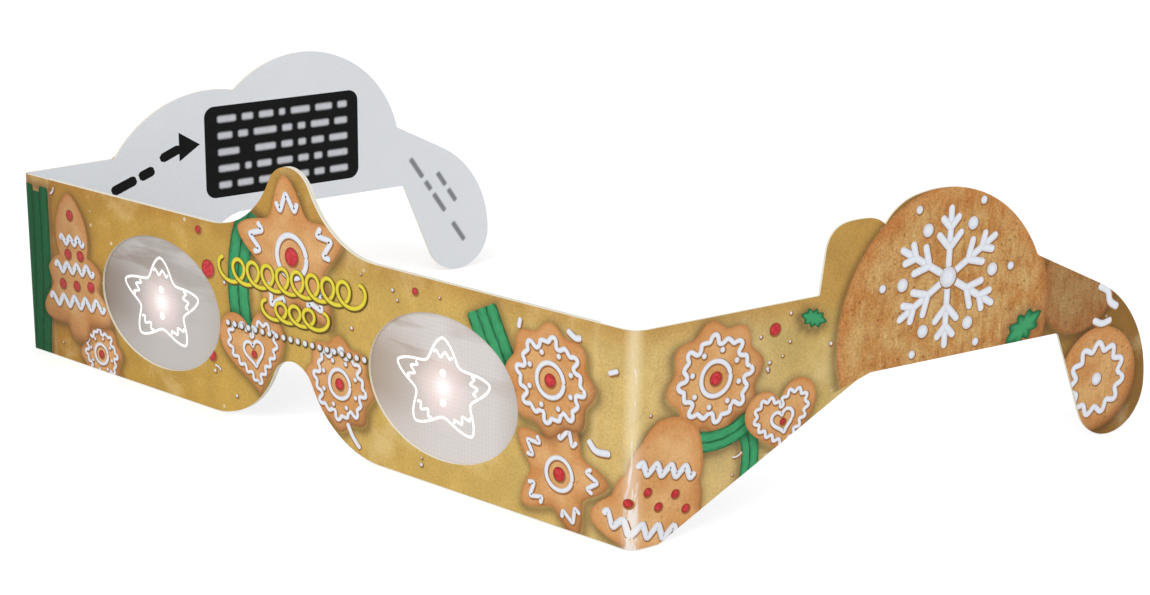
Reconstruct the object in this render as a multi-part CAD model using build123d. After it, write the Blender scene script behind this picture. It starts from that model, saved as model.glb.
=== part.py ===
from build123d import *
import math
import os

# Folding card glasses with two diffraction film windows, in millimetres and degrees.
# The printed front stands on its bottom edge in the XZ plane and faces -Y.
# Z = 0 is the bottom edge and X = 0 the middle of the nose notch. The temples run back along +Y.
# Left and right are as seen from the front: left is at -X and right at +X.

# Card, film and glue, from the printed face backwards
card_thickness = 0.45
film_thickness = 0.10
backing_thickness = 0.40

# Front of the blank between its two creases
front_width = 150.0
front_height = 34.2

# Nose notch, a bell of three tangent arcs cut into the bottom edge
notch_half_width = 21.0
notch_height = 13.3
notch_crown_radius = 5.3

# Peak over the bridge, the same kind of bell on the top edge
peak_half_width = 20.5
peak_height = 12.8
peak_crown_radius = 5.5

# Oval lens windows. Their centres lie at a share of the way from the middle of the front to each crease.
window_place_share = 0.47
window_width = 33.2
window_height = 24.4
window_centre_height = 16.6
backing_window_margin = 0.5

# Film patches, glued in round the windows
film_lap = 3.0
film_corner_radius = 1.5

# Backing board and the glue under it
backing_setback = 7.5
glue_setback = 1.0
glue_film_gap = 0.2

# Creases. Each radius is that of a square fold, and the wider right one lets its temple lie over the left.
left_crease_radius = 1.5
right_crease_radius = 2.3

# Temples as they stand: the right one splays outwards and the left one leans inwards
left_lean_angle = -11.1
right_lean_angle = 15.5

# Both temples, measured back from the front's face and up from its bottom edge
left_temple_length = 107.2
right_temple_length = 109.2
top_edge_rise = 0.4
heel_length = 5.5
heel_corner_radius = 1.5
ear_start = 44.9
ear_start_radius = 6.0
ear_rise = 20.4
hook_length = 22.0
hook_corner_radius = 0.8
hook_tip_radius = 8.0
hook_back_radius = 21.8

# Left temple's top edge: a long low swell, then the large round
left_swell_foot = 18.7
left_swell_radius = 25.4
left_notch_reach = 45.0
left_notch_height = 45.3
left_round_reach = 60.9
left_round_centre_height = 28.0
left_round_radius = 23.4
left_hook_root = 83.7

# Right temple's top edge: a short steep bump, then the large round
right_bump_foot = 35.0
right_bump_side_height = 6.8
right_bump_side_lean = 0.9
right_bump_crown_reach = 42.5
right_bump_crown_height = 45.8
right_notch_reach = 47.6
right_notch_height = 44.3
right_round_reach = 58.9
right_round_centre_height = 24.0
right_round_radius = 24.8
right_hook_root = 81.2

# Where a round's small front arc gives way to its main one, as an angle ahead of its top
round_shoulder_angle = 12.7

LEFT = -1
RIGHT = 1


def bell(half_width, height, crown_radius, level):
    """Flare, crown and flare, tangent to each other and to the straight edge at this level, from -X to +X."""
    both_radii = (half_width**2 + height**2) / (2 * height)
    crown_share = crown_radius / both_radii
    join_x = half_width * crown_share
    join_level = level + height - crown_radius + crown_share * (both_radii - height)
    first = TangentArc((-half_width, level), (-join_x, join_level), tangent=(1, 0))
    crown = ThreePointArc((-join_x, join_level), (0, level + height), (join_x, join_level))
    last = TangentArc((half_width, level), (join_x, join_level), tangent=(-1, 0))
    return [first, crown, last]


def front_outline(low_x, high_x, inset):
    """Outline of the front between two ends, drawn in by the inset along its long edges, notch and peak."""
    bottom = inset
    top = front_height - inset
    notch = bell(notch_half_width, notch_height, notch_crown_radius + inset, bottom)
    peak = bell(peak_half_width, peak_height, peak_crown_radius - inset, top)
    runs = [
        Line((low_x, bottom), (-notch_half_width, bottom)),
        Line((notch_half_width, bottom), (high_x, bottom)),
        Line((high_x, bottom), (high_x, top)),
        Line((high_x, top), (peak_half_width, top)),
        Line((-peak_half_width, top), (low_x, top)),
        Line((low_x, top), (low_x, bottom)),
    ]
    return make_face(notch + peak + runs)


def at_windows(shape):
    """The same shape at the centre of each window, left one first."""
    place = window_place_share * front_width / 2
    return [Pos(side * place, window_centre_height) * shape for side in (LEFT, RIGHT)]


def windows(margin):
    """Both oval windows, larger all round by the margin."""
    return at_windows(Ellipse(window_width / 2 + margin, window_height / 2 + margin))


def film_patch(margin):
    """One film patch centred on the origin, larger all round by the margin."""
    width = window_width + 2 * (film_lap + margin)
    height = window_height + 2 * (film_lap + margin)
    return RectangleRounded(width, height, film_corner_radius + margin)


def front_board(outline, depth, thickness):
    """A flat board standing in the XZ plane, its front face at this depth behind the printed face."""
    return extrude(Plane.XZ.offset(-depth) * outline, amount=-thickness)


def crease_radius(side):
    return right_crease_radius if side == RIGHT else left_crease_radius


def lean_angle(side):
    return right_lean_angle if side == RIGHT else left_lean_angle


def hinge_offset(side):
    """How far the fold's axis lies in from both printed faces.

    Set so that the temple opens out flush with the front and folds in parallel behind it.
    """
    return (crease_radius(side) + card_thickness / 2) / 2


def hinge_axis(side):
    offset = hinge_offset(side)
    return Axis((side * (front_width / 2 - offset), offset, 0), (0, 0, 1))


def bend_angle(side):
    """How far the card turns at this crease as the glasses stand."""
    return 90 - lean_angle(side)


def crease_strip(side):
    """The bent strip of card, an arc tangent to the front and to the leaning temple."""
    angle = bend_angle(side)
    half_tangent = math.tan(math.radians(angle / 2))
    offset = hinge_offset(side)
    run = crease_radius(side) - offset + offset * half_tangent
    outer_radius = run / half_tangent
    inner_radius = outer_radius - card_thickness
    centre = (front_width / 2 - crease_radius(side), outer_radius)
    outer = CenterArc(centre, outer_radius, -90, angle)
    inner = CenterArc(centre, inner_radius, -90, angle)
    ends = [Line(outer @ 0, inner @ 0), Line(outer @ 1, inner @ 1)]
    strip = extrude(make_face([outer, inner] + ends), amount=front_height)
    return strip if side == RIGHT else mirror(strip, about=Plane.YZ)


def touch_point(start, centre, radius, turn):
    """Where the line from a point touches a circle, on the side that the turn of 1 or -1 picks."""
    across = centre[0] - start[0]
    up = centre[1] - start[1]
    distance = math.hypot(across, up)
    direction = math.atan2(up, across) + turn * math.asin(radius / distance)
    reach = math.sqrt(distance**2 - radius**2)
    return (start[0] + reach * math.cos(direction), start[1] + reach * math.sin(direction))


def on_round(reach, height, radius, at_reach):
    """Height of a round's upper edge at this distance from the front."""
    return height + math.sqrt(radius**2 - (at_reach - reach) ** 2)


def round_edges(notch, reach, height, radius, root_reach):
    """The large round from its notch to the hook's root: a small front arc, then the main arc."""
    angle = math.radians(round_shoulder_angle)
    shoulder = (reach - radius * math.sin(angle), height + radius * math.cos(angle))
    forwards = (-math.cos(angle), -math.sin(angle))
    backwards = (math.cos(angle), math.sin(angle))
    root = (root_reach, on_round(reach, height, radius, root_reach))
    front_arc = TangentArc(shoulder, notch, tangent=forwards)
    main_arc = TangentArc(shoulder, root, tangent=backwards)
    return [front_arc, main_arc], root


def left_top_edge():
    """Straight run, long swell and round of the left temple, and the root of its hook."""
    start = (left_crease_radius, front_height)
    foot = (left_swell_foot, front_height + top_edge_rise)
    notch = (left_notch_reach, left_notch_height)
    edges, root = round_edges(
        notch, left_round_reach, left_round_centre_height, left_round_radius, left_hook_root
    )
    swell = RadiusArc(foot, notch, left_swell_radius)
    return [Line(start, foot), swell] + edges, root


def right_top_edge():
    """Straight run, steep bump and round of the right temple, and the root of its hook."""
    start = (right_crease_radius, front_height)
    foot = (right_bump_foot, front_height + top_edge_rise)
    side_top = (foot[0] + right_bump_side_lean, foot[1] + right_bump_side_height)
    crown = (right_bump_crown_reach, right_bump_crown_height)
    notch = (right_notch_reach, right_notch_height)
    edges, root = round_edges(
        notch, right_round_reach, right_round_centre_height, right_round_radius, right_hook_root
    )
    side = (right_bump_side_lean, right_bump_side_height)
    bump = Spline([side_top, crown, notch], tangents=[side, (1, -1)])
    return [Line(start, foot), Line(foot, side_top), bump] + edges, root


def temple_length(side):
    return right_temple_length if side == RIGHT else left_temple_length


def hook_corner(side):
    """The inner corner where the underside over the ear meets the hook."""
    return (temple_length(side) - hook_length, ear_rise)


def hook_edges(side, root):
    """The ear hook from its root round its tip, and where the tip's arc ends."""
    length = temple_length(side)
    rearmost = (length, hook_tip_radius)
    back_centre = (length - hook_back_radius, hook_tip_radius)
    tip_centre = (length - hook_tip_radius, hook_tip_radius)
    back_touch = touch_point(root, back_centre, hook_back_radius, 1)
    slope = (back_touch[0] - root[0], back_touch[1] - root[1])
    tip_touch = touch_point(hook_corner(side), tip_centre, hook_tip_radius, -1)
    back_arc = TangentArc(back_touch, rearmost, tangent=slope)
    tip_arc = TangentArc(rearmost, tip_touch, tangent=(0, -1))
    return [Line(root, back_touch), back_arc, tip_arc], tip_touch


def under_edge(side, tip_touch):
    """The temple's lower edge from the hook's tip over the ear and down to the crease."""
    return FilletPolyline(
        tip_touch,
        hook_corner(side),
        (ear_start, ear_rise),
        (heel_length, 0),
        (crease_radius(side), 0),
        radius=[hook_corner_radius, ear_start_radius, heel_corner_radius],
    )


def temple_board(side):
    """A temple of single card, cut to its outline, then leant about its crease."""
    top_edge, root = right_top_edge() if side == RIGHT else left_top_edge()
    hook, tip_touch = hook_edges(side, root)
    crease_end = Line((crease_radius(side), 0), (crease_radius(side), front_height))
    outline = make_face(top_edge + hook + [under_edge(side, tip_touch), crease_end])
    printed_face = Plane(origin=(side * front_width / 2, 0, 0), x_dir=(0, 1, 0), z_dir=(1, 0, 0))
    board = extrude(printed_face * outline, amount=-side * card_thickness)
    return board.rotate(hinge_axis(side), -side * lean_angle(side))


def front_panel():
    low_x = left_crease_radius - front_width / 2
    high_x = front_width / 2 - right_crease_radius
    return front_board(front_outline(low_x, high_x, 0) - windows(0), 0, card_thickness)


def backing_panel():
    end_x = front_width / 2 - backing_setback
    outline = front_outline(-end_x, end_x, 0) - windows(backing_window_margin)
    return front_board(outline, card_thickness + film_thickness, backing_thickness)


def glue_layer():
    """Glue between the two boards, kept in from every edge and cut round the films."""
    end_x = front_width / 2 - backing_setback - glue_setback
    outline = front_outline(-end_x, end_x, glue_setback) - at_windows(film_patch(glue_film_gap))
    return front_board(outline, card_thickness, film_thickness)


def lens_films():
    return [front_board(patch, card_thickness, film_thickness) for patch in at_windows(film_patch(0))]


left_film, right_film = lens_films()

nodes = {
    "front_panel": front_panel(),
    "backing_panel": backing_panel(),
    "glue_layer": glue_layer(),
    "left_lens_film": left_film,
    "right_lens_film": right_film,
    "left_crease": crease_strip(LEFT),
    "right_crease": crease_strip(RIGHT),
    "left_temple": temple_board(LEFT),
    "right_temple": temple_board(RIGHT),
}

os.makedirs("parts", exist_ok=True)
for name, solid in nodes.items():
    export_step(solid, f"parts/{name}.step")

for side, word in ((LEFT, "left"), (RIGHT, "right")):
    offset = hinge_offset(side)
    print(word, "hinge at", side * (front_width / 2 - offset), offset)
    print(word, "folds in", bend_angle(side) - 180, "and out", bend_angle(side))
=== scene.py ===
import bmesh
import bpy
import numpy as np
from mathutils import Matrix, Vector


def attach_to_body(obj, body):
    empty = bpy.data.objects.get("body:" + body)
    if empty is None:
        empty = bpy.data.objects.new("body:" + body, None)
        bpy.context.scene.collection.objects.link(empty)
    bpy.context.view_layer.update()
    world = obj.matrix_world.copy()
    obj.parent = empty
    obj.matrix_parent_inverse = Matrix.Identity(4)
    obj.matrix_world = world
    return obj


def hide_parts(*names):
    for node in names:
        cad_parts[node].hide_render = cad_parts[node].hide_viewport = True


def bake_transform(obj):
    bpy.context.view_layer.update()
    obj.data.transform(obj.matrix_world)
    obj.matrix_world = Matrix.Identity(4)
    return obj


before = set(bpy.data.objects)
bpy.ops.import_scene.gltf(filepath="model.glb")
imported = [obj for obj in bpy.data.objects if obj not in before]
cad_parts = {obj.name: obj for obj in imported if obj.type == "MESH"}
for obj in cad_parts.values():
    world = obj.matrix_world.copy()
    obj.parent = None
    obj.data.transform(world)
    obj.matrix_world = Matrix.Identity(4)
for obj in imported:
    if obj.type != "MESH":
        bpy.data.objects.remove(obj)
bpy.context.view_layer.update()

MM = 0.001


# The studio: a white table that carries on out of sight, one broad lamp over the camera's shoulder and a
# pale room all round. The camera stands low on the right, where the photograph was taken from.

photo_width = 1150
sensor_width = 36.0
focal_pixels = 2195.241
camera_turn = np.radians(41.0)
camera_drop = np.radians(16.05)
camera_roll = np.radians(0.7022)
aim_point = Vector((63.196, 0.0, 37.207)) * MM
camera_distance = 325.263 * MM


def colour(red, green, blue):
    """A print colour, named by three numbers up to 255, as the light that it sends back."""
    share = np.array([red, green, blue]) / 255
    light = np.where(share < 0.04045, share / 12.92, ((share + 0.055) / 1.055) ** 2.4)
    return (*light.tolist(), 1.0)


def node(tree, kind, inputs=(), result=0, **settings):
    """Adds a shader node: settings are its own options, inputs its sockets by name or number."""
    made = tree.nodes.new("ShaderNode" + kind)
    for option, value in settings.items():
        setattr(made, option, value)
    for socket, value in dict(inputs).items():
        if isinstance(value, Wire):
            tree.links.new(value.socket, made.inputs[socket])
        else:
            made.inputs[socket].default_value = value
    return Wire(made.outputs[result])


class Wire:
    """A value in a node tree. Sums, steps and mixes of wires add the nodes for them."""

    def __init__(self, socket):
        self.socket, self.tree = socket, socket.id_data

    def sum(self, operation, *others):
        return node(self.tree, "Math", dict(enumerate((self, *others))), operation=operation)

    def __add__(self, other):
        return self.sum("ADD", other)

    def __sub__(self, other):
        return self.sum("SUBTRACT", other)

    def __mul__(self, other):
        return self.sum("MULTIPLY", other)

    def __gt__(self, other):
        return self.sum("GREATER_THAN", other)

    def __abs__(self):
        return self.sum("ABSOLUTE")

    def step(self, low, high, bottom=0.0, top=1.0):
        """This brought smoothly from low..high to bottom..top."""
        inputs = {0: self, 1: low, 2: high, 3: bottom, 4: top}
        return node(self.tree, "MapRange", inputs, interpolation_type="SMOOTHSTEP")

    def mix(self, first, second):
        """Colour going from first to second as this goes from 0 to 1."""
        return node(self.tree, "Mix", {0: self, 6: first, 7: second}, result=2, data_type="RGBA")

    def times(self, share):
        """This colour times a number."""
        return node(self.tree, "Mix", {0: 1.0, 6: self, 7: share}, result=2, data_type="RGBA",
                    blend_type="MULTIPLY")

    def parts(self):
        """The three coordinates of this place."""
        first = node(self.tree, "SeparateXYZ", {0: self})
        return [Wire(socket) for socket in first.socket.node.outputs]


def noise(place, scale, detail=2.0, roughness=0.5):
    """Cloudy noise at a place, finer as the scale grows."""
    inputs = {"Vector": place, "Scale": scale, "Detail": detail, "Roughness": roughness}
    return node(place.tree, "TexNoise", inputs)


def own_place(tree):
    """The place of a point in its object, which is its place in the frame."""
    return node(tree, "TexCoord", result="Object")


camera = bpy.data.objects.new("camera", bpy.data.cameras.new("camera"))
camera.data.sensor_width = sensor_width
camera.data.lens = focal_pixels / photo_width * sensor_width
camera.data.clip_start = 0.01
camera.data.clip_end = 20.0
camera.matrix_world = (
    Matrix.Translation(aim_point) @ Matrix.Rotation(camera_turn, 4, "Z")
    @ Matrix.Rotation(np.pi / 2 - camera_drop, 4, "X") @ Matrix.Rotation(camera_roll, 4, "Z")
    @ Matrix.Translation((0.0, 0.0, camera_distance)))
bpy.context.scene.collection.objects.link(camera)
bpy.context.scene.camera = camera
bpy.context.scene.view_settings.view_transform = "Standard"

lamp_places = {"window_lamp": ((0.35, -1.3, 1.1), 1.3, 13.0), "side_lamp": ((1.5, -0.2, 0.7), 1.0, 4.0)}
lamp_aim = Vector((0.0, 0.03, 0.02))
room_light = 0.62

for lamp_name, (place, width, power) in lamp_places.items():
    lamp = bpy.data.objects.new(lamp_name, bpy.data.lights.new(lamp_name, "AREA"))
    lamp.data.size = width
    lamp.data.energy = power
    lamp.location = place
    lamp.rotation_euler = (Vector(place) - lamp_aim).to_track_quat("Z", "Y").to_euler()
    bpy.context.scene.collection.objects.link(lamp)


def seen_share(tree):
    """One where the eye looks straight at a surface, or sees it in a gloss or through a film."""
    straight, gloss, through = (node(tree, "LightPath", result=ray) for ray in (
        "Is Camera Ray", "Is Glossy Ray", "Is Transmission Ray"))
    return straight.sum("MAXIMUM", gloss).sum("MAXIMUM", through)


def painted(made, paint, out):
    """Fills a new world or material with the shader that paint makes in its node tree."""
    made.use_nodes = True
    tree = made.node_tree
    tree.nodes.clear()
    tree.links.new(paint(tree).socket, tree.nodes.new(out).inputs["Surface"])
    return made


def white_room(tree):
    """The room round the table: even pale light, and plain white where the eye meets it."""
    lit, seen = (node(tree, "Background", {"Color": (1, 1, 1, 1), "Strength": strength})
                 for strength in (room_light, 1.0))
    return node(tree, "MixShader", {0: seen_share(tree), 1: lit, 2: seen})


bpy.context.scene.world = painted(bpy.data.worlds.new("white_room"), white_room, "ShaderNodeOutputWorld")

table_half = 2.5
table_drop = 0.0002
table_lift = 0.42


def material(paint, name=None):
    """Makes a material of a function that paints in its node tree."""
    return painted(bpy.data.materials.new(name or paint.__name__), paint, "ShaderNodeOutputMaterial")


@material
def table_white(tree):
    """White table top: a pale coat that keeps the soft shadow, lifted to plain white for the eye."""
    grain = noise(own_place(tree), 40.0)
    coat = node(tree, "BsdfDiffuse", {"Color": grain.mix((0.80, 0.80, 0.80, 1), (0.82, 0.82, 0.82, 1))})
    dark, lift = (node(tree, "Emission", {"Color": (1, 1, 1, 1), "Strength": strength})
                  for strength in (0.0, table_lift))
    glow = node(tree, "MixShader", {0: seen_share(tree), 1: dark, 2: lift})
    return node(tree, "AddShader", {0: coat, 1: glow})


def new_piece(name, points, faces, stock, values=()):
    """A mesh object of points and faces, with its values kept at the points."""
    mesh = bpy.data.meshes.new(name)
    mesh.from_pydata(points.tolist(), [], faces.tolist())
    for value_name, value in dict(values).items():
        kind = "FLOAT_VECTOR" if value.ndim == 2 else "FLOAT"
        field = mesh.attributes.new(value_name, kind, "POINT")
        field.data.foreach_set("vector" if value.ndim == 2 else "value", value.astype(np.float32).ravel())
    mesh.materials.append(stock)
    mesh.update()
    made = bpy.data.objects.new(name, mesh)
    bpy.context.scene.collection.objects.link(made)
    return made


def grid_faces(rows, columns):
    """Four-cornered faces of a grid of points, row by row."""
    first = np.arange((rows - 1) * columns).reshape(rows - 1, columns)[:, :-1].ravel()
    return np.column_stack([first, first + 1, first + columns + 1, first + columns])


def table_top():
    """A flat grid of points, table_half to each side, just under the glasses."""
    side = np.linspace(-table_half, table_half, 5)
    x, y = np.meshgrid(side, side)
    points = np.column_stack([x.ravel(), y.ravel(), np.full(x.size, -table_drop)])
    return new_piece("table_top", points, grid_faces(5, 5), table_white)


table_top()


# The card blank: one flat sheet of white board, printed and varnished on the outside as rolled-out dough,
# then die-cut and scored at two creases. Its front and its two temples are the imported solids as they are.

board_thickness = 0.45
half_front = 75.0
crease_reach = {-1: 1.5, 1: 2.3}
lean = {-1: -11.1, 1: 15.5}
crease_height = 34.2
print_skin = 0.02


def crease_round(side):
    """Radius of the printed face round a crease. The temple turns about an axis that lies in from both
    printed faces by a fixed offset, so the radius is that offset, plus the rest of the reach over the
    tangent of half the bend."""
    offset = (crease_reach[side] + board_thickness / 2) / 2
    return offset + (crease_reach[side] - offset) / np.tan(np.radians(90 - lean[side]) / 2)


bend = {side: np.radians(90 - lean[side]) for side in (-1, 1)}
arc_start = {side: half_front - crease_reach[side] for side in (-1, 1)}
arc_round = {side: crease_round(side) for side in (-1, 1)}
arc_end = {side: arc_start[side] + arc_round[side] * bend[side] for side in (-1, 1)}


def on_card(along, height, lift=0.0):
    """Folded place, in metres, of a point on the flat blank: along it from the middle, and up it, in mm.
    The blank is the plane y = 0 up to each crease, an arc tangent to it, then straight on as the temple.
    A lift stands the point that far in front of the print."""
    along, height, lift = np.broadcast_arrays(along, height, lift)
    left = along < 0
    start = np.where(left, arc_start[-1], arc_start[1])
    radius = np.where(left, arc_round[-1], arc_round[1])
    whole = np.where(left, bend[-1], bend[1])
    past = np.abs(along) - start
    turn = np.clip(past / radius, 0, whole)
    beyond = np.maximum(past - radius * whole, 0)
    across = start + np.minimum(past, 0) + (radius + lift) * np.sin(turn) + beyond * np.cos(whole)
    back = radius - (radius + lift) * np.cos(turn) + beyond * np.sin(whole)
    return np.stack([np.where(left, -across, across), back, height + 0 * lift], -1) * MM


def temple_axes(side):
    """A temple's own run, its outward direction, and the place where its flat print begins."""
    across, back = side * np.cos(bend[side]), np.sin(bend[side])
    run, outward = np.array([across, back, 0.0]), np.array([side * back, -side * across, 0.0])
    return run, outward, on_card(side * arc_end[side], 0.0)


def projected(place, way):
    """How far a place lies along a direction."""
    return node(place.tree, "VectorMath", {0: place, 1: way.tolist()}, result=1, operation="DOT_PRODUCT")


def flat_sums(tree, side):
    """For a temple's material: a point's place on the blank, and how far in front of the print it is."""
    place = own_place(tree)
    run, outward, corner = temple_axes(side)
    along = (projected(place, run) + float(arc_end[side] * MM - corner @ run)) * float(side)
    proud = projected(place, outward) - float(corner @ outward)
    return node(tree, "CombineXYZ", {0: along, 2: place.parts()[2]}), proud


def front_sums(tree):
    """The same two for the front, whose print is the plane y = 0."""
    x, y, z = own_place(tree).parts()
    return node(tree, "CombineXYZ", {0: x, 2: z}), y * -1.0


dough_along = ((-185, (150, 104, 44)), (-90, (190, 150, 76)), (-75, (150, 104, 40)), (-66, (164, 118, 46)),
               (-48, (190, 148, 64)), (0, (202, 166, 82)), (45, (210, 176, 98)), (72, (216, 184, 114)),
               (95, (208, 180, 118)), (112, (196, 166, 94)), (150, (176, 140, 70)), (166, (146, 106, 44)),
               (185, (136, 96, 38)))
blank_half = 200.0
backing_reach = 67.5


def specks(place, scale, near, far, least):
    """One at the middles of some cells of a random pattern, and nought between them."""
    away = node(place.tree, "TexVoronoi", {"Vector": place, "Scale": scale})
    picked = node(place.tree, "SeparateColor", {0: Wire(away.socket.node.outputs["Color"])}) > least
    return away.step(near, far, 1.0, 0.0) * picked


def dough(place):
    """Rolled dough as printed: a colour that drifts along the blank, a warmer band near the top edge,
    cloudy patches, fine grain, patches and specks of pale flour, and a faint pale line, a painted highlight
    of the slight ridge where the end of the backing board lies behind."""
    x, y, z = place.parts()
    share = node(place.tree, "MapRange", {0: x, 1: -blank_half * MM, 2: blank_half * MM})
    drift = node(place.tree, "ValToRGB", {0: share})
    stops = drift.socket.node.color_ramp.elements
    while len(stops) < len(dough_along):
        stops.new(0.5)
    for stop, (along, tone) in zip(stops, dough_along):
        stop.position = (along + blank_half) / (2 * blank_half)
        stop.color = colour(*tone)
    tone = z.step(29.5 * MM, 34.5 * MM, 0.0, 0.55).mix(drift, colour(178, 126, 52))
    tone = tone.times(noise(place, 150.0, 4.0).step(0.3, 0.7, 0.90, 1.08))
    tone = tone.times(noise(place, 2400.0, 3.0).step(0.25, 0.75, 0.88, 1.10))
    tone = noise(place, 75.0, 5.0, 0.6).step(0.52, 0.72, 0.0, 0.34).mix(tone, colour(232, 212, 164))
    # Painted highlight along the slight ridge over the backing board's end.
    ridge_highlight = abs(abs(x) - backing_reach * MM).step(0.0, 1.0 * MM, 0.16, 0.0)
    tone = ridge_highlight.mix(tone, colour(240, 222, 168))
    return (specks(place, 330.0, 0.06, 0.16, 0.8) * 0.75).mix(tone, colour(236, 226, 200))


def varnished(tone, roughness=0.42, gloss=0.14):
    """Print under a thin satin varnish."""
    inputs = {"Base Color": tone, "Roughness": roughness, "Specular IOR Level": gloss}
    return node(tone.tree, "BsdfPrincipled", inputs)


def board_colour(tree):
    """Bare white board: faint clouds and the fleck of its fibres."""
    place = own_place(tree)
    tone = noise(place, 60.0, 3.0).mix(colour(226, 229, 233), colour(234, 236, 239))
    return noise(place, 2600.0).step(0.3, 0.7, 0.0, 0.25).mix(tone, colour(214, 217, 222))


core_cream = colour(240, 233, 214)


def card_stock(name, sums):
    """The blank's material: dough print where a point lies in the printed skin, bare board on the inner
    face, and the board's cream core along the cut edges between them."""
    def paint(tree):
        flat, proud = sums(tree)
        bare = (proud > (print_skin - board_thickness) * MM).mix(board_colour(tree), core_cream)
        return varnished((proud > -print_skin * MM).mix(bare, dough(flat)))
    return material(paint, name)


def dress(node_name, stock):
    """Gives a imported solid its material."""
    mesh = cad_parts[node_name].data
    mesh.materials.clear()
    mesh.materials.append(stock)


dress("front_panel", card_stock("front_card_stock", front_sums))
dress("left_temple", card_stock("left_card_stock", lambda tree: flat_sums(tree, -1)))
dress("right_temple", card_stock("right_card_stock", lambda tree: flat_sums(tree, 1)))


# The two creases: scored lines where the blank turns back into the temples. The board bends there in a
# small round, its printed face paled partly by stretched ink and partly by a painted highlight of the
# round, and its ink cracked white, most at the crease's foot.

crease_steps = 28
crease_rows = 70
crease_mid = {side: (arc_start[side] + arc_end[side]) / 2 for side in (-1, 1)}
# How pale each crease is: partly stretched ink, partly a painted highlight of its round.
fold_pallor_and_highlight = {-1: 0.25, 1: 0.62}
fold_width = {-1: 0.7, 1: 1.15}
folded_pale_highlight = colour(240, 222, 180)


def fold_stretch_and_highlight(along):
    """How much the print is paled near a crease, by stretched ink and a painted highlight of the bend: a bell
    curve across the arc.
    """
    side = np.where(along < 0, -1, 1)
    middle = np.where(side < 0, crease_mid[-1], crease_mid[1])
    width = np.where(side < 0, fold_width[-1], fold_width[1])
    strength = np.where(side < 0, fold_pallor_and_highlight[-1], fold_pallor_and_highlight[1])
    return strength * np.exp(-((np.abs(along) - middle) / width) ** 2)


def kept_value(tree, name):
    """One number that a piece keeps at its points."""
    return node(tree, "Attribute", attribute_name=name, result=2)


def kept_place(tree):
    """The flat place that a piece keeps at its points."""
    return node(tree, "Attribute", attribute_name="flat_place", result=1)


def stretched(place, up):
    """A place whose height counts less, which draws a pattern out upward."""
    return node(place.tree, "VectorMath", {0: place, 1: (1.0, 1.0, up)}, operation="MULTIPLY")


def cracked(tone, flat, fold):
    """A tone with upright white cracks where the board folds: noise drawn out upward, cut at a level
    that falls toward the foot."""
    foot = flat.parts()[2].step(1.0 * MM, 18.0 * MM, 0.24, 0.0)
    crack = (fold * 0.16 + foot + noise(stretched(flat, 0.14), 2200.0, 3.0)).step(0.68, 0.78)
    return (crack * fold.step(0.1, 0.5, 0.0, 0.75)).mix(tone, colour(240, 238, 234))


@material
def creased_card(tree):
    """The dough print paled by the fold value (stretched ink and a painted highlight) and cracked; the inner
    face and the cut ends stay bare.
    """
    flat, fold = kept_place(tree), kept_value(tree, "fold")
    tone = cracked(fold.mix(dough(flat), folded_pale_highlight), flat, fold)
    return varnished((kept_value(tree, "printed") > 0.5).mix(board_colour(tree), tone))


def crease_strip(side):
    """A ring round the board's section, carried up the crease: the printed arc one way, the bare inner
    arc back, and a face at each end."""
    arc = np.linspace(arc_start[side], arc_end[side], crease_steps)
    height = np.linspace(0.0, crease_height, crease_rows)
    along = side * np.concatenate([arc, arc[::-1]])
    lift = np.repeat([0.0, -board_thickness], crease_steps)
    points = on_card(along[None, :], height[:, None], lift[None, :]).reshape(-1, 3)
    ring = along.size
    row = np.arange(crease_rows - 1)[:, None] * ring
    here, ahead = np.arange(ring), np.roll(np.arange(ring), -1)
    sides = np.stack([row + here, row + ahead, row + ahead + ring, row + here + ring], -1).reshape(-1, 4)
    step = np.arange(crease_steps - 1)
    foot = np.column_stack([step, ring - 1 - step, ring - 2 - step, step + 1])
    head = foot[:, ::-1] + (crease_rows - 1) * ring
    faces = np.concatenate([sides, foot, head])
    faces = faces if side > 0 else faces[:, ::-1]
    flat = np.stack(np.broadcast_arrays(along[None, :], 0.0, height[:, None]), -1).reshape(-1, 3) * MM
    values = {"flat_place": flat, "printed": np.tile(lift + 1 > 0.8, crease_rows).astype(float),
              "fold": np.tile(fold_stretch_and_highlight(along), crease_rows)}
    return new_piece(crease_names[side] + "_printed", points, faces, creased_card, values)


crease_names = {-1: "left_crease", 1: "right_crease"}
arm_names = {-1: "left_arm", 1: "right_arm"}


def bend_with_crease(piece, side):
    """A piece across a crease stays where it was laid on the crease's round; its placing is baked into its
    points.
    """
    start, end = on_card(side * arc_start[side], 0.0), on_card(side * arc_end[side], 0.0)
    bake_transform(piece)


for side in (-1, 1):
    strip = crease_strip(side)
    bend_with_crease(strip, side)
    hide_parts(crease_names[side])


# The backing board and the glue: a second white card stuck behind the front, so that the films lie
# between two boards. Its face is the same bare board as the temples' inside.

backing_faces = (0.57, 0.93)


@material
def backing_card(tree):
    """Bare board on the two faces, and the board's core along the cut edges between them."""
    back = own_place(tree).parts()[1]
    within = (back > backing_faces[0] * MM) * back.sum("LESS_THAN", backing_faces[1] * MM)
    return varnished(within.mix(board_colour(tree), core_cream), 0.6)


@material
def dried_glue(tree):
    """Glue dried between the boards: a clouded cream."""
    return varnished(noise(own_place(tree), 300.0).mix(colour(222, 216, 200), colour(236, 232, 220)), 0.5)


dress("backing_panel", backing_card)
dress("glue_layer", dried_glue)


# The two lens films: clear plastic film with a fine embossed grating that scatters light, so it looks a
# milky grey, with the room's reflection painted on it as streaks and a soft glow of light painted at the
# middle.

window_middle = (35.25, 16.6)


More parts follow.
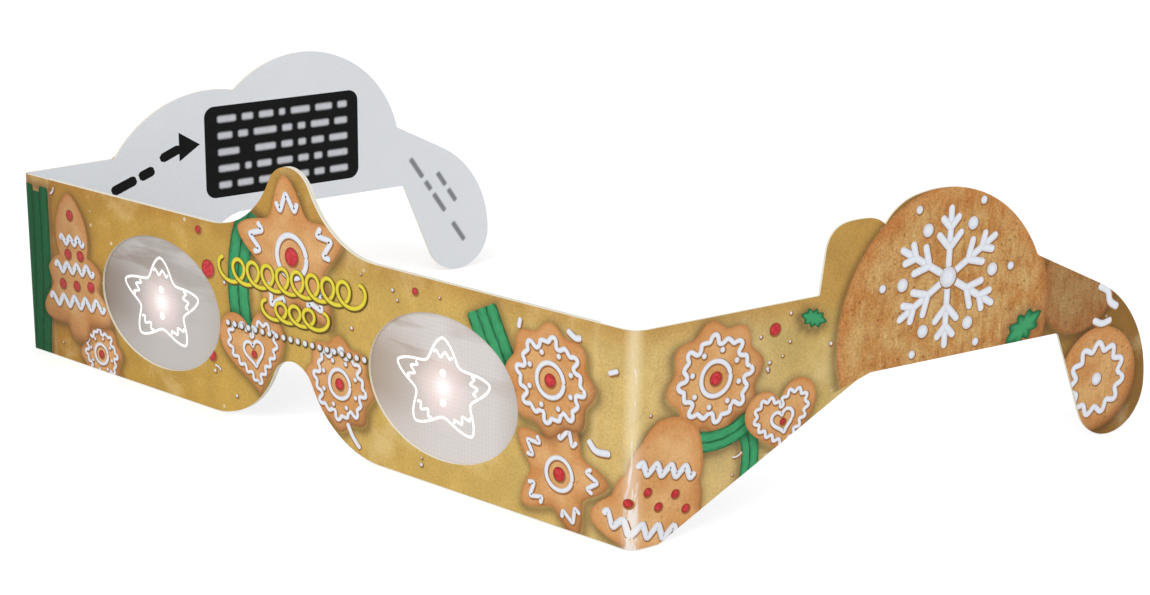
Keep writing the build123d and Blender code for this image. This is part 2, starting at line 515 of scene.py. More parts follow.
@material
def grating_film(tree):
    """Milky film: the left one greyer than the right, both browner toward the left, with dark streaks above
    that are painted reflections of the room, a fine hatch of two crossed waves, a pinkish painted glow
    that falls off from the window's middle to a white painted highlight there and shines a little, and a
    little of what stands behind it."""
    place = own_place(tree)
    x, y, z = place.parts()
    right = x > 0.0
    side_x = x - (right * (2 * window_middle[0] * MM) - window_middle[0] * MM)
    side_z = z - window_middle[1] * MM
    turned = node(tree, "Mapping", {"Vector": place, "Rotation": (0, np.radians(12), 0),
                                    "Scale": (26.0, 1.0, 150.0)})
    # Painted reflection of the room: dark streaks, strongest above.
    reflection_streaks = noise(turned, 1.0, 4.0, 0.6).step(0.44, 0.58) * side_x.step(-12.0 * MM, 12.0 * MM, 0.8, 0.35)
    reflection_streaks = reflection_streaks * side_z.step(-4.0 * MM, 6.0 * MM, 0.1, 1.0)
    patch = side_x.step(-17.0 * MM, 2.0 * MM, 1.0, 0.0) * abs(side_z).step(2.0 * MM, 10.0 * MM, 1.0, 0.35)
    light = right.mix(colour(206, 201, 197), colour(228, 222, 219))
    dark = right.mix(colour(148, 131, 118), colour(182, 163, 146))
    tone = patch.sum("MAXIMUM", reflection_streaks).mix(light, dark)
    tone = side_x.step(10.0 * MM, 17.0 * MM, 0.0, 0.6).mix(tone, colour(192, 181, 170))
    away = (side_x * side_x + side_z * side_z).sum("SQRT")
    # Painted light: a pinkish glow from the window's middle, white at its heart, that also shines a little.
    glow = away.step(0.3 * MM, 8.0 * MM, 0.85, 0.0)
    tone = glow.mix(tone, colour(250, 226, 222))
    tone = away.step(0.2 * MM, 3.2 * MM, 1.0, 0.0).mix(tone, (1, 1, 1, 1))
    across, upright = (node(tree, "TexWave", {"Vector": place, "Scale": 420.0, "Distortion": 0.4}, result=1,
                            wave_type="BANDS", bands_direction=direction) for direction in "XZ")
    hatch = across + upright
    return node(tree, "BsdfPrincipled", {
        "Base Color": (hatch * 0.05).mix(tone, colour(120, 118, 124)), "Roughness": 0.32, "Alpha": 0.88,
        "Normal": node(tree, "Bump", {"Height": hatch, "Strength": 0.12, "Distance": 0.00002}),
        "Specular IOR Level": 0.4, "Emission Color": (1.0, 0.92, 0.90, 1), "Emission Strength": glow * 0.14})


dress("left_lens_film", grating_film)
dress("right_lens_film", grating_film)


# The print in general: a winter baking print of cut-out biscuits laid on the dough, each browned at its
# rim, with a soft shadow round it and icing piped on it. The die-cut edge and the windows cut through
# them, and each kind of ink is one thin layer over the board.

ray_count = 240
ring_count = 18
fine_rings = 70
shadow_reach = 3.2
shadow_rings = 11
shadow_depth = 0.60
shadow_spread = 1.2
ground_lift = 0.010
lift_step = 0.0007
crease_stack = 2.5
crease_spread = 3.5


def printed_outline(node_name, to_flat):
    """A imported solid's die-cut outline: the edges of its printed face that only one triangle has, as
    pairs of points on the flat blank."""
    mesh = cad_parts[node_name].data
    mesh.calc_loop_triangles()
    points = np.array([v.co for v in mesh.vertices]).reshape(-1, 3)
    corners = np.array([t.vertices for t in mesh.loop_triangles])
    flat = np.round(np.column_stack(to_flat(points)), 4)
    kept, number = np.unique(flat, axis=0, return_inverse=True)
    corners = number.ravel()[corners]
    corners = corners[(kept[corners][:, :, 2] > -print_skin).all(1)]
    edges = np.sort(np.concatenate([corners[:, [0, 1]], corners[:, [1, 2]], corners[:, [2, 0]]]), 1)
    edges, uses = np.unique(edges, axis=0, return_counts=True)
    return kept[edges[uses == 1]][:, :, :2]


def temple_flat(side):
    """Turns folded points of a temple back to the flat blank: along it, up it, and proud of the print."""
    run, outward, corner = temple_axes(side)

    def to_flat(points):
        along = ((points - corner) @ run) / MM + arc_end[side]
        return side * along, points[:, 2] / MM, ((points - corner) @ outward) / MM
    return to_flat


def whole_outline():
    """All cut edges of the blank, with the two crease lines left out and the creases' ends put in."""
    edges = np.concatenate([
        printed_outline("front_panel", lambda p: (p[:, 0] / MM, p[:, 2] / MM, -p[:, 1] / MM)),
        printed_outline("left_temple", temple_flat(-1)), printed_outline("right_temple", temple_flat(1))])
    joins = np.array([s * a[s] for s in (-1, 1) for a in (arc_start, arc_end)])
    at_join = (np.abs(edges[:, :, 0, None] - joins) < print_skin).all(1).any(1)
    ends = [[[s * arc_start[s], h], [s * arc_end[s], h]] for s in (-1, 1) for h in (0.0, crease_height)]
    return np.concatenate([edges[~at_join], np.array(ends)])


cut_edges = whole_outline()
cut_starts, cut_runs = cut_edges[:, 0], cut_edges[:, 1] - cut_edges[:, 0]


def inside_card(points):
    """True for flat points on the card: a level line rightward crosses an odd number of cut edges."""
    (x0, z0), (x1, z1) = cut_edges[:, 0].T, cut_edges[:, 1].T
    x, z = points[:, 0, None], points[:, 1, None]
    spans = (z0 > z) != (z1 > z)
    with np.errstate(divide="ignore", invalid="ignore"):
        crossing = x0 + (z - z0) * (x1 - x0) / (z1 - z0)
    return (np.where(spans, crossing > x, False).sum(1) % 2) == 1


def nearest_on(points, start, run):
    """For each point the nearest place on a set of straight lines, and how far away it is."""
    gone = points[:, None, :] - start
    share = np.clip((gone * run).sum(2) / np.maximum((run ** 2).sum(1), 1e-12), 0, 1)
    away = ((gone - share[..., None] * run) ** 2).sum(2)
    best = away.argmin(1)
    row = np.arange(len(points))
    return start[best] + share[row, best, None] * run[best], np.sqrt(away[row, best])


def trimmed(points, faces):
    """Points and faces cut to the card: a face wholly off it goes, and a point just off it is drawn in
    to the nearest cut edge."""
    pieces = [inside_card(part) for part in np.array_split(points, max(1, len(points) // 4000))]
    on = np.concatenate(pieces)
    faces = faces[on[faces].any(1)]
    stray = np.setdiff1d(np.unique(faces), np.flatnonzero(on))
    moved = points.copy()
    for part in np.array_split(stray, max(1, len(stray) // 2000)):
        moved[part] = nearest_on(points[part], cut_starts, cut_runs)[0]
    return moved, faces


def reach(pole, angles):
    """How far each ray from the pole runs to its first cut edge, ray and edge solved as two lines."""
    ray, start = polar(0.0, 0.0, 1.0, angles), cut_starts - pole
    with np.errstate(divide="ignore", invalid="ignore"):
        slant = ray[:, :1] * cut_runs[:, 1] - ray[:, 1:] * cut_runs[:, 0]
        away = (start[:, 0] * cut_runs[:, 1] - start[:, 1] * cut_runs[:, 0]) / slant
        share = (start[:, 0] * ray[:, 1:] - start[:, 1] * ray[:, :1]) / slant
        hits = (away > 0) & (share > -1e-6) & (share < 1 + 1e-6)
    return np.where(hits, away, np.inf).min(1)


full_turn = np.radians(np.arange(-180, 180))


def cutter(corners, softness):
    """Rim of a biscuit cutter, as a radius for each angle: half the outline's corners as x and y, their
    mirror image, the radius drawn between them by angle and then rounded off."""
    half = np.array(corners, float)
    whole = np.concatenate([half, half * (-1, 1)])
    angle, radius = np.arctan2(whole[:, 1], whole[:, 0]), np.hypot(whole[:, 0], whole[:, 1])
    order = np.argsort(angle)
    table = np.interp(full_turn, angle[order], radius[order], period=2 * np.pi)
    window = np.exp(-(np.arange(-20, 21) / softness) ** 2)
    return np.convolve(np.pad(table, 20, mode="wrap"), window / window.sum(), mode="valid")


def heart_corners():
    """Half a heart: sixteen times sine cubed across, and four cosines up, brought to about one."""
    t = np.linspace(0, np.pi, 60)
    y = 13 * np.cos(t) - 5 * np.cos(2 * t) - 2 * np.cos(3 * t) - np.cos(4 * t) + 2.0
    return np.column_stack([16 * np.sin(t) ** 3, y]) / 15


def star_rim(points, dip):
    """A star's rim: one, less a dip that follows a rounded, half-power sine between the points."""
    return 1.05 - dip * (np.sin(points / 2 * (full_turn - np.pi / 2)) ** 2 + 0.012) ** 0.62


cutters = {
    "star": star_rim(5, 0.44),
    "heart": cutter(heart_corners(), 4.0),
    "flower": 0.93 + 0.07 * np.cos(8 * full_turn),
    "round": 0.99 + 0.01 * np.cos(3 * full_turn + 1.0),
    "tree": cutter([(0, 1.12), (0.36, 0.44), (0.30, 0.20), (0.60, 0.0), (0.50, -0.26), (0.80, -0.56),
                    (0.74, -0.72), (0.24, -0.76), (0.2, -1.0), (0, -1.03)], 4.0),
    "bell": cutter([(0, 1.0), (0.30, 0.92), (0.48, 0.62), (0.56, 0.2), (0.68, -0.2), (0.96, -0.52),
                    (0.94, -0.68), (0.34, -0.74), (0.24, -0.95), (0, -1.0)], 4.0),
    "leaf": cutter([(0, 1.0), (0.22, 0.62), (0.46, 0.58), (0.34, 0.2), (0.56, 0.0), (0.34, -0.22),
                    (0.44, -0.56), (0.2, -0.62), (0, -1.0)], 3.0),
}


def rim_radius(kind, angles, turn=0.0):
    """Radius of a cutter's rim at some angles once it is turned."""
    return np.interp(angles - np.radians(turn), full_turn, cutters[kind], period=2 * np.pi)


def polar(along, height, radius, angles):
    """Places at a radius and an angle round a middle."""
    return np.stack([along + radius * np.cos(angles), height + radius * np.sin(angles)], -1)


def rim_line(kind, along, height, size, turn, count=161):
    """The rim of a biscuit as a closed run of flat points."""
    angles = np.linspace(0, 2 * np.pi, count)
    return polar(along, height, size * rim_radius(kind, angles, turn), angles)


def smooth_path(corners, count=120):
    """A curve through given points: each leg is a cubic whose slope at a point is half the step between
    that point's two neighbours."""
    p = np.array(corners, float)
    slope = np.gradient(p, axis=0)
    t = np.linspace(0, len(p) - 1, count)
    leg = np.minimum(t.astype(int), len(p) - 2)
    u = (t - leg)[:, None]
    a, b, c, d = p[leg], p[leg + 1], slope[leg], slope[leg + 1]
    return (a * (1 - u) ** 2 * (1 + 2 * u) + b * u ** 2 * (3 - 2 * u) + c * u * (1 - u) ** 2
            - d * u ** 2 * (1 - u))


def sideways(path):
    """The direction square to a path at each of its points."""
    ahead = np.gradient(path, axis=0)
    ahead = ahead / np.maximum(np.hypot(ahead[:, 0], ahead[:, 1]), 1e-9)[:, None]
    return np.column_stack([-ahead[:, 1], ahead[:, 0]])


def edge_line(thing):
    """The closed edge that casts a thing's soft shadow: a biscuit's rim, or a ribbon's two sides."""
    if thing["kind"] == "ribbon":
        middle = smooth_path(thing["path"], 60)
        side = sideways(middle) * thing["width"] / 2
        return np.concatenate([middle + side, (middle - side)[::-1], (middle + side)[:1]])
    return rim_line(thing["kind"], *thing["at"], thing["size"], thing["turn"])


def shadow_value(grid, things):
    """Printed soft shadow on a grid: each thing near it darkens by a bell curve of its distance."""
    points = grid.reshape(-1, 2)
    left_over = np.ones(len(points))
    for thing in things:
        line = edge_line(thing)
        if np.maximum(line.min(0) - points.max(0), points.min(0) - line.max(0)).max() < shadow_reach:
            away = nearest_on(points, line[:-1], np.diff(line, axis=0))[1]
            fade = np.clip(1 - away / shadow_reach, 0, 1)
            left_over *= 1 - shadow_depth * np.exp(-(away / shadow_spread) ** 2) * fade
    return 1 - left_over.reshape(grid.shape[:2])


def band(path, width, lanes=7, blunt=0.12):
    """A flat band carried along a path: it spreads square to the path, and its ends round off where the
    half width follows a quarter circle. Gives the places, the share across and the run along."""
    gone = np.concatenate([[0], np.cumsum(np.hypot(*np.diff(path, axis=0).T))])
    end = np.minimum(gone, gone[-1] - gone) / (width / 2)
    full = np.sqrt(1 - (1 - np.clip(end + blunt, 0, 1)) ** 2)
    across = np.linspace(-1, 1, lanes)
    spread = (width / 2 * full)[:, None] * across
    grid = path[:, None, :] + spread[:, :, None] * sideways(path)[:, None, :]
    return grid, np.broadcast_to(across, grid.shape[:2]), np.broadcast_to(gone[:, None], grid.shape[:2])


def rays(kind, along, height, size, turn):
    """Rays all round a shape's middle: their angles, where each meets the shape's rim, and a function
    that gives places on them no further out than the first cut edge."""
    angles = np.linspace(0, 2 * np.pi, ray_count + 1)
    stop = reach(np.array([along, height]), angles)
    return (size * rim_radius(kind, angles, turn), stop,
            lambda far: polar(along, height, np.minimum(far, stop), angles))


def filled(kind, along, height, size, turn):
    """A filled shape as rays and rings from its middle: a ray ends at the rim or at the first cut edge,
    and each point keeps its distance in from the rim."""
    rim, stop, places = rays(kind, along, height, size, turn)
    rings = fine_rings if abs(abs(along) - half_front) < size + 1 else ring_count
    far = (np.linspace(0, 1, rings) ** 0.7)[:, None] * np.minimum(rim, stop)
    return places(far), rim - far


def halo(kind, along, height, size, turn):
    """The ring of dough that a shape's shadow falls on: rays carried on past the rim."""
    rim, stop, places = rays(kind, along, height, size, turn)
    return places(rim + shadow_reach * np.linspace(-0.1, 1, shadow_rings)[:, None])


def ribbon_halo(path, width):
    """The dough beside a ribbon and past its two ends: a wider band on the path run on at both ends."""
    line = smooth_path(path, 60)
    past = shadow_reach + width / 2
    steps = np.linspace(1, 0, 9)[:, None] * past
    first, last = line[0] - line[1], line[-1] - line[-2]
    line = np.concatenate([line[0] + steps[:-1] * first / np.hypot(*first), line,
                           line[-1] + steps[::-1][1:] * last / np.hypot(*last)])
    across = np.linspace(-past, past, 2 * shadow_rings)
    return line[:, None, :] + across[None, :, None] * sideways(line)[:, None, :]


def lay_print(name, patches, stock, whole=False, inward=False):
    """Flat objects from several grids of printed points, cut to the card unless they are whole. Every
    face looks away from the board, or into the glasses where the print is inside. What crosses a crease
    becomes a piece of its own that bends there, with its layers further apart, and the rest rides with
    the front or its temple."""
    def joined(value_of):
        return np.concatenate([np.broadcast_to(value_of(lift, kept), grid.shape[:2]).ravel()
                               for grid, lift, kept in patches])

    points = np.concatenate([grid.reshape(-1, 2) for grid, lift, kept in patches])
    firsts = np.cumsum([0] + [grid[..., 0].size for grid, lift, kept in patches])
    faces = np.concatenate([grid_faces(*grid.shape[:2]) + first
                            for (grid, lift, kept), first in zip(patches, firsts)])
    lifts = joined(lambda lift, kept: lift)
    values = {key: joined(lambda lift, kept, key=key: kept[key]) for key in patches[0][2]}
    if not whole:
        points, faces = trimmed(points, faces)
    across, down = points[faces[:, 2]] - points[faces[:, 0]], points[faces[:, 3]] - points[faces[:, 1]]
    area = across[:, 0] * down[:, 1] - across[:, 1] * down[:, 0]
    backward = (area < 0) != inward
    faces[backward] = faces[backward][:, ::-1]
    faces = faces[np.abs(area) > 1e-6]
    values["flat_place"] = np.column_stack([points[:, 0], 0 * lifts, points[:, 1]]) * MM
    values["fold"] = fold_stretch_and_highlight(points[:, 0])
    off = np.abs(points[:, 0]) - np.where(points[:, 0] < 0, crease_mid[-1], crease_mid[1])
    lifts = lifts * (1 + crease_stack * np.exp(-(off / crease_spread) ** 2))
    along = points[faces][:, :, 0]
    for side in (-1, 1):
        past = side * along
        temple = past.min(1) >= arc_end[side]
        crease = (past.max(1) > arc_start[side]) & ~temple
        part_piece(side_names[side] + "_temple_" + name, faces[temple], points, lifts, values, stock,
                   lambda piece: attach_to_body(piece, arm_names[side]))
        part_piece(crease_names[side] + "_" + name, faces[crease], points, lifts, values, stock,
                   lambda piece: bend_with_crease(piece, side))
    front = (np.abs(along) <= np.where(along < 0, arc_start[-1], arc_start[1])).all(1)
    part_piece("front_" + name, faces[front], points, lifts, values, stock,
               lambda piece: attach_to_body(piece, "front"))


side_names = {-1: "left", 1: "right"}


def weld(mesh, apart=1e-7):
    """Joins points that coincide, so that the middles and seams of polar grids are closed."""
    work = bmesh.new()
    work.from_mesh(mesh)
    bmesh.ops.remove_doubles(work, verts=work.verts, dist=apart)
    work.to_mesh(mesh)
    work.free()


def part_piece(name, faces, points, lifts, values, stock, attach):
    """One object of the faces given, with only the points that they use."""
    if not len(faces):
        return
    used, faces = np.unique(faces, return_inverse=True)
    kept = {key: value[used] for key, value in values.items()}
    made = new_piece(name, on_card(*points[used].T, lifts[used]), faces.reshape(-1, 4), stock, kept)
    weld(made.data)
    attach(made)


def dimmed(tone, share=0.42, dark=colour(70, 42, 16)):
    """The print's own falling light: darker toward the far left end of the front."""
    along = kept_place(tone.tree).parts()[0]
    return along.step(-74 * MM, -44 * MM, share, 0.0).mix(tone, dark)


@material
def shadowed_dough(tree):
    """The dough print again, darkened by the shadow value, which is nought at the patch's outer rim."""
    flat, fold = kept_place(tree), kept_value(tree, "fold")
    tone = kept_value(tree, "shade").mix(dough(flat), colour(74, 46, 22))
    # Paled at a crease by the fold value: stretched ink and a painted highlight of the round.
    return varnished(cracked(fold.mix(tone, folded_pale_highlight), flat, fold))


@material
def baked_biscuit(tree):
    """Printed biscuit: golden brown, darker and redder toward the rim by the distance in from it, with
    baking clouds, crumb grain and small dark pores; coarse biscuits are darker and grainier."""
    flat, fold = kept_place(tree), kept_value(tree, "fold")
    depth, coarse, shade = (kept_value(tree, name) for name in ("depth", "coarse", "shade"))
    patch = noise(flat, 170.0, 4.0).step(0.3, 0.7)
    fine = patch.mix(colour(208, 150, 90), colour(226, 178, 122))
    flecks = noise(stretched(flat, 0.4), 900.0, 5.0)
    rough = patch.mix(colour(190, 128, 64), colour(210, 170, 108))
    rough = flecks.step(0.52, 0.66, 0.0, 0.45).mix(rough, colour(160, 96, 44))
    rough = flecks.step(0.46, 0.34, 0.0, 0.35).mix(rough, colour(222, 188, 132))
    tone = depth.step(0.0, 0.8, 0.5, 0.0).mix(coarse.mix(fine, rough), colour(150, 90, 42))
    tone = depth.step(0.4, 4.5, 0.42, 0.0).mix(tone, colour(200, 124, 62))
    crumb = noise(flat, 2100.0, 4.0, 0.7).step(0.3, 0.7, coarse * -0.20 + 0.90, coarse * 0.08 + 1.10)
    pore = specks(flat, 700.0, 0.08, 0.24, 0.6) * (coarse * 0.35 + 0.28)
    tone = shade.mix(pore.mix(tone.times(crumb), colour(120, 68, 30)), colour(84, 46, 20))
    # Paled at a crease by the fold value: stretched ink and a painted highlight of the round.
    tone = (fold * 0.75).mix(tone, colour(238, 222, 200))
    return varnished(cracked(dimmed(tone), flat, fold))


def piped_icing(name, bright, dim):
    """Piped sugar icing as printed: bright on its crown and dimmer to its sides."""
    def paint(tree):
        flat = kept_place(tree)
        tone = abs(kept_value(tree, "across")).step(0.3, 1.0, 0.0, 0.8).mix(bright, dim)
        tone = noise(flat, 900.0).step(0.45, 0.8, 0.0, 0.3).mix(tone, dim)
        return varnished(cracked(dimmed(tone, 0.25), flat, kept_value(tree, "fold")), 0.35)
    return material(paint, name)


def icing_shade(name, dark, pale):
    """The thin shade that a line of icing throws on what lies beneath it."""
    return material(lambda tree: varnished(dimmed(noise(kept_place(tree), 900.0).mix(dark, pale))), name)


@material
def green_ribbon(tree):
    """Green sugar strand: light on its crown and dark to its sides by the share across it, streaked
    along the run."""
    side = kept_value(tree, "across")
    streaks = noise(node(tree, "CombineXYZ", {0: side * 3.0, 1: kept_value(tree, "run") * 0.6,
                                              2: kept_value(tree, "strand")}), 1.0, 3.0)
    crown = abs(side).sum("POWER", 2.2) * -0.6 + 0.6
    tone = (streaks * 0.9 + crown).step(0.25, 1.15).mix(colour(8, 62, 30), colour(66, 160, 106))
    tone = kept_value(tree, "shade").mix(tone, colour(10, 32, 14))
    return varnished(dimmed(tone, 0.85, colour(4, 52, 22)), 0.45, 0.08)


@material
def candy_drop(tree):
    """Red sugar drop as printed: clear red, clouded, with a dark rim by the distance in."""
    tone = noise(kept_place(tree), 1400.0).step(0.3, 0.7).mix(colour(186, 36, 44), colour(216, 70, 76))
    rim = kept_value(tree, "depth").step(0.0, 0.4, 0.8, 0.0)
    return varnished(dimmed(rim.mix(tone, colour(134, 44, 28))), 0.3)


stocks = {
    "shadows": shadowed_dough, "biscuits": baked_biscuit, "ribbons": green_ribbon,
    "icing_shade": icing_shade("icing_shade", colour(150, 98, 52), colour(166, 114, 64)),
    "dark_shade": icing_shade("dark_shade", colour(84, 66, 18), colour(104, 84, 26)),
    "candy_drops": candy_drop,
    "white_icing": piped_icing("white_icing", colour(232, 236, 244), colour(206, 206, 212)),
    "gold_icing": piped_icing("gold_icing", colour(234, 218, 66), colour(190, 170, 40)),
}


def legs(start, end):
    """Two points as arrays: the first, the way to the second, and the directions along and square to it."""
    start, ahead = np.array(start, float), np.array(end, float) - start
    run = ahead / np.hypot(*ahead)
    return start, ahead, run, np.array([-run[1], run[0]])


def wave(start, end, swing, teeth, count=120):
    """A wave piped from start to end: teeth swings to each side, its peaks rounded off a zigzag."""
    start, ahead, run, side = legs(start, end)
    t = np.linspace(0, 1, count)
    swings = np.arcsin(0.92 * np.sin(2 * np.pi * teeth * t)) / np.arcsin(0.92)
    return start + t[:, None] * ahead + swing * swings[:, None] * side


def loops(start, end, swing, pitch, curl=0.62, count=400):
    """A row of piped loops from start to end: a circle's turn added to a steady walk."""
    start, ahead, run, side = legs(start, end)
    t = np.linspace(0, 1, count)[:, None]
    turn = 2 * np.pi * np.round(np.hypot(*ahead) / pitch) * t
    return start + t * ahead - curl * pitch * np.sin(turn) * run + swing * np.cos(turn) * side


def rim_wave(kind, share, swing, teeth, count=420):
    """A wave piped along a cutter's rim, drawn in to a share of it: the line swings square to itself,
    evenly by its own length, in the cutter's own measure."""
    line = rim_line(kind, 0.0, 0.0, share, 0.0, count)
    gone = np.concatenate([[0], np.cumsum(np.hypot(*np.diff(line, axis=0).T))])
    return line + (swing * np.sin(2 * np.pi * teeth * gone / gone[-1]))[:, None] * sideways(line)


def spots(many, share, first=90.0):
    """Places evenly round a circle."""
    return polar(0.0, 0.0, share, np.radians(first + 360 / many * np.arange(many)))


def cuffs(many, out, half, swing, teeth):
    """Short waves piped square across each point of a star."""
    lines = []
    for middle in spots(many, out):
        side = np.array([-middle[1], middle[0]]) / out * half
        lines.append(wave(middle - side, middle + side, swing, teeth, 60))
    return lines


def snowflake(size, barbs=((0.40, 0.32), (0.68, 0.24))):
    """A piped snowflake: six arms from near the middle, each with two pairs of barbs."""
    lines = []
    for out in spots(6, 1.0):
        off = np.array([-out[1], out[0]])
        lines.append(np.linspace(0.12, 1.0, 24)[:, None] * size * out)
        for root, barb in barbs:
            for way in (-1, 1):
                t = np.linspace(0, barb * size, 12)[:, None]
                lines.append(root * size * out + t * (0.72 * out + 0.7 * way * off))
    return lines


def dots(places, size, tint):
    """Drops of one size and colour at several places."""
    return [(x, y, size, tint) for x, y in np.reshape(places, (-1, 2))]


def big_snowflake():
    """A bold snowflake with drops between its arms, raised to the middle of what the card shows."""
    lift = np.array([0.0, 0.33])
    lines = [line + lift for line in snowflake(0.52)]
    return lines, 0.056, dots(spots(6, 0.42, 60.0) + lift, 0.048, "white") + dots(spots(
        6, 0.60, 60.0) + lift, 0.03, "white") + dots(lift, 0.075, "white")


dressings = {
    "star": (cuffs(5, 0.68, 0.20, 0.10, 1.5) + [rim_line("round", 0.0, 0.0, 0.27, 0.0)], 0.075,
             dots((0, 0), 0.12, "red")),
    "heart": ([rim_wave("heart", 0.72, 0.05, 18), rim_line("heart", 0.0, 0.0, 0.3, 0.0)], 0.08,
              dots((0, 0), 0.085, "red")),
    "flower": ([rim_wave("flower", 0.72, 0.05, 16), rim_line("round", 0.0, 0.0, 0.3, 0.0)], 0.085,
               dots((0, 0), 0.12, "red") + dots(spots(8, 0.49, 22.5), 0.05, "white")),
    "tree": ([wave((-0.27, 0.42), (0.27, 0.42), 0.05, 3), wave((-0.44, 0.02), (0.44, 0.02), 0.06, 4),
              wave((-0.62, -0.46), (0.62, -0.46), 0.07, 5)], 0.08,
             dots([(0, 0.78), (-0.12, 0.22), (0.16, 0.22), (-0.3, -0.22), (0.02, -0.22), (0.34, -0.2)],
                  0.075, "red")),
    "bell": ([wave((-0.76, -0.5), (0.76, -0.5), 0.085, 6), wave((-0.46, 0.3), (0.46, 0.3), 0.07, 4)], 0.09,
             dots([(-0.44, -0.18), (-0.22, 0.0), (0, -0.18), (0.22, 0.0), (0.44, -0.18)], 0.06, "red")),
    "snowflake": big_snowflake(),
    "ring": ([rim_wave("round", 0.62, 0.07, 11)], 0.11, dots((0, 0), 0.12, "white")),
    "plain": ([], 0.1, []),
}


def to_place(points, thing):
    """From the cutter's measure to the blank: grown, turned and moved to the thing's place."""
    turn = np.radians(thing["turn"])
    x, y = np.asarray(points, float).reshape(-1, 2).T * thing["size"]
    turned = x * np.cos(turn) - y * np.sin(turn), x * np.sin(turn) + y * np.cos(turn)
    return np.column_stack(turned) + thing["at"]


def drop(along, height, radius):
    """A small round drop as rings: places, share out to the rim, and distance in from it."""
    angles = np.linspace(0, 2 * np.pi, 25)
    ring = np.linspace(0, 1, 5)[:, None]
    grid = polar(along, height, radius * ring, angles)
    return grid, np.broadcast_to(ring, grid.shape[:2]), radius * (1 - ring) * np.ones(25)


least_line = 0.62
shade_width = 0.34
shade_shift = np.array([0.10, -0.14])
climb = 0.0006
line_levels = 5
side_light = np.array([0.6, -0.8])
lee_shade = 0.55
lee_width = 1.5
on_thing = 0.8
meeting_gap = 0.6


def pipe(layers, jobs, level, shade="icing_shade", climbing=False):
    """Adds lines of icing over their thin shades, and drops where a path is one point. Neighbours take
    turns on a few levels; lines that cross themselves climb along their run. Gives the next free level."""
    top = level
    for rank, (tint, path, width) in enumerate(jobs):
        path = np.asarray(path, float).reshape(-1, 2)
        if len(path) == 1:
            grid, across, depth = drop(*path[0], width)
            under = drop(*(path[0] + shade_shift), width + shade_width / 2)[0]
        else:
            grid, across, depth = band(path, width)
            under = band(path + shade_shift, width + shade_width)[0]
        first = level + lift_step * (rank % line_levels)
        over_it = first + lift_step * (1 if climbing else line_levels)
        rise = climb * depth if climbing else 0.0
        layers[shade].append((under, first + rise, {}))
        kept = {"depth": depth} if tint == "candy_drops" else {"across": across}
        layers[tint].append((grid, over_it + rise, kept))
        top = max(top, over_it + lift_step + np.max(rise))
    return top


def lay_strands(layers, thing, level, above):
    """Adds a ribbon to the layers: strands side by side, their ends uneven by seeded amounts."""
    line, many, width = smooth_path(thing["path"]), thing["strands"], thing["width"] / thing["strands"]
    roll = np.random.default_rng(many + int(10 * thing["width"]))
    for strand in range(many):
        first, last = (roll.uniform(0, 0.06, 2) * len(line)).astype(int)
        middle = line + (strand - (many - 1) / 2) * width * sideways(line)
        grid, across, run = band(middle[first:len(line) - last], 1.2 * width, 9, 0.3)
        shade = on_thing * shadow_value(grid, above)
        kept = {"across": across, "run": run, "shade": shade, "strand": float(strand)}
        layers["ribbons"].append((grid, level + lift_step * strand, kept))
    return level + lift_step * many


def lay_thing(layers, thing, level, above):
    """Adds one biscuit, leaf or ribbon with what is piped on it. Its lower right side is shaded, as the
    print is lit from the upper left."""
    if thing["kind"] == "ribbon":
        return lay_strands(layers, thing, level, above)
    grid, depth = filled(thing["kind"], *thing["at"], thing["size"], thing["turn"])
    shade = on_thing * shadow_value(grid, above)
    if thing["kind"] == "leaf":
        across = np.interp(depth / thing["size"], [0, 0.5], [1, 0])
        kept = {"across": across, "run": depth, "shade": shade, "strand": 0.0}
        layers["ribbons"].append((grid, level, kept))
        return level + lift_step
    lee = np.clip((grid - thing["at"]) @ side_light / thing["size"], 0, 1) * np.exp(-(depth / lee_width) ** 2)
    shade = np.maximum(np.maximum(shade, lee_shade * lee), thing.get("dark", 0))
    kept = {"depth": depth, "shade": shade, "coarse": thing.get("coarse", 0.0)}
    layers["biscuits"].append((grid, level, kept))
    lines, width, drops = dressings[thing.get("dressing", thing["kind"])]
    jobs = [("white_icing", to_place(path, thing), max(width * thing["size"], least_line)) for path in lines]
    level = pipe(layers, jobs, level + lift_step)
    jobs = [("candy_drops" if tint == "red" else "white_icing", to_place((x, y), thing), size * thing["size"])
            for x, y, size, tint in drops]
    return pipe(layers, jobs, level)


def free_level(thing, laid):
    """A thing's edge, and the first free level over the things already laid that its box meets."""
    line = edge_line(thing)
    low, high = line.min(0) - meeting_gap, line.max(0) + meeting_gap
    tops = [top for other, top in laid if (low < other.max(0)).all() and (other.min(0) < high).all()]
    return line, max(tops, default=ground_lift + lift_step * shadow_levels)


shadow_levels = 12
shadow_fall = np.array([0.45, -0.45])


def fallen(grid):
    """How far the printed shadows fall: down, outward on the front and back toward it on the temples."""
    way = np.where(np.abs(grid[..., 0]) > half_front, -1, 1) * np.where(grid[..., 0] < -half_front, -1, 1)
    return np.stack([way * shadow_fall[0], 0 * way + shadow_fall[1]], -1)


